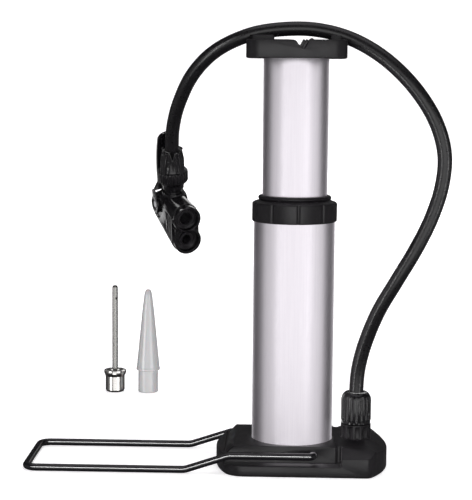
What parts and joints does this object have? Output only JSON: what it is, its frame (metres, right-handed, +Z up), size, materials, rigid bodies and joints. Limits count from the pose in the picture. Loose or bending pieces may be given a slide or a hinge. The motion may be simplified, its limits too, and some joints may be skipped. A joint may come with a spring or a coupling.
{
  "type": "foot pump",
  "caption": "Upright foot pump: a piston tube with a cross handle, a folding wire foot bail, a hose to a lever-locked valve head with a wide and a narrow nozzle, and a loose needle and cone.",
  "frame": {"origin": "where the barrel's axis meets the floor, on the underside of the foot base", "axes": "+Z up along the barrel, +X towards the hose port, -X towards the foot bail's crossbar, -Y towards the front"},
  "size_m": [0.2334, 0.2245, 0.2465],
  "materials": {
    "moulded_plastic": "fine spark-eroded texture, satin",
    "gloss_plastic": "polished mould, glossy",
    "inner_plastic": "moulded",
    "bush_plastic": "natural, machined",
    "cam_plastic": "moulded, slippery",
    "barrel_aluminium": "satin anodised",
    "tube_aluminium": "fine bead blasted and anodised",
    "hose_rubber": "smooth extruded",
    "seal_rubber": "moulded",
    "valve_rubber": "moulded silicone",
    "wire_enamel": "black enamel",
    "fitting_brass": "turned",
    "fastener_steel": "zinc plated",
    "needle_nickel": "nickel plated",
    "cone_plastic": "milky, translucent"
  },
  "bodies": {
    "base": {"base": "moulded_plastic", "barrel": "barrel_aluminium", "barrel_plug": "inner_plastic", "barrel_ring": "seal_rubber", "plug_screws": "fastener_steel", "check_valve": "valve_rubber", "collar": "moulded_plastic", "guide_bush": "bush_plastic", "wiper_ring": "seal_rubber", "hose_port": "fitting_brass", "gland_nut": "gloss_plastic", "hose_riser": "hose_rubber", "ball_needle_head": "needle_nickel", "ball_needle_tube": "needle_nickel", "cone_nozzle": "cone_plastic"},
    "piston": {"piston_tube": "tube_aluminium", "piston_head": "inner_plastic", "piston_cup": "seal_rubber", "tie_bolt": "fastener_steel", "tie_nut": "fastener_steel", "handle": "moulded_plastic", "hose_drop": "hose_rubber", "clamp_nut": "gloss_plastic", "hose_tail": "fitting_brass", "head_body": "gloss_plastic", "nozzle_cap": "gloss_plastic", "wide_seal": "seal_rubber", "narrow_seal": "seal_rubber"},
    "lever": {"head_lever": "gloss_plastic", "lever_pin": "fastener_steel", "lever_cam": "cam_plastic"},
    "plunger": {"plunger": "cam_plastic"},
    "bail": {"foot_bail": "wire_enamel"}
  },
  "joints": [
    {"name": "piston_slide", "type": "slide", "parent": "base", "child": "piston", "axis": [0, 0, 1], "range_m": [-0.067, 0]},
    {"name": "bail_hinge", "type": "hinge", "parent": "base", "child": "bail", "pos_m": [0.0116, 0, 0.01], "axis": [0, 1, 0], "range_deg": [0, 77.5]},
    {"name": "lever_hinge", "type": "hinge", "parent": "piston", "child": "lever", "pos_m": [-0.07403, 0.06126, 0.1416], "axis": [-0.8988, -0.4099, -0.1553], "range_deg": [0, 90]},
    {"name": "plunger_slide", "type": "slide", "parent": "piston", "child": "plunger", "axis": [0.4384, -0.8405, -0.3185], "range_m": [-0.0012, 0]}
  ],
  "couplings": [
    {"joint": "plunger_slide", "follows": "lever_hinge", "m_per_rad": -0.00076394}
  ]
}
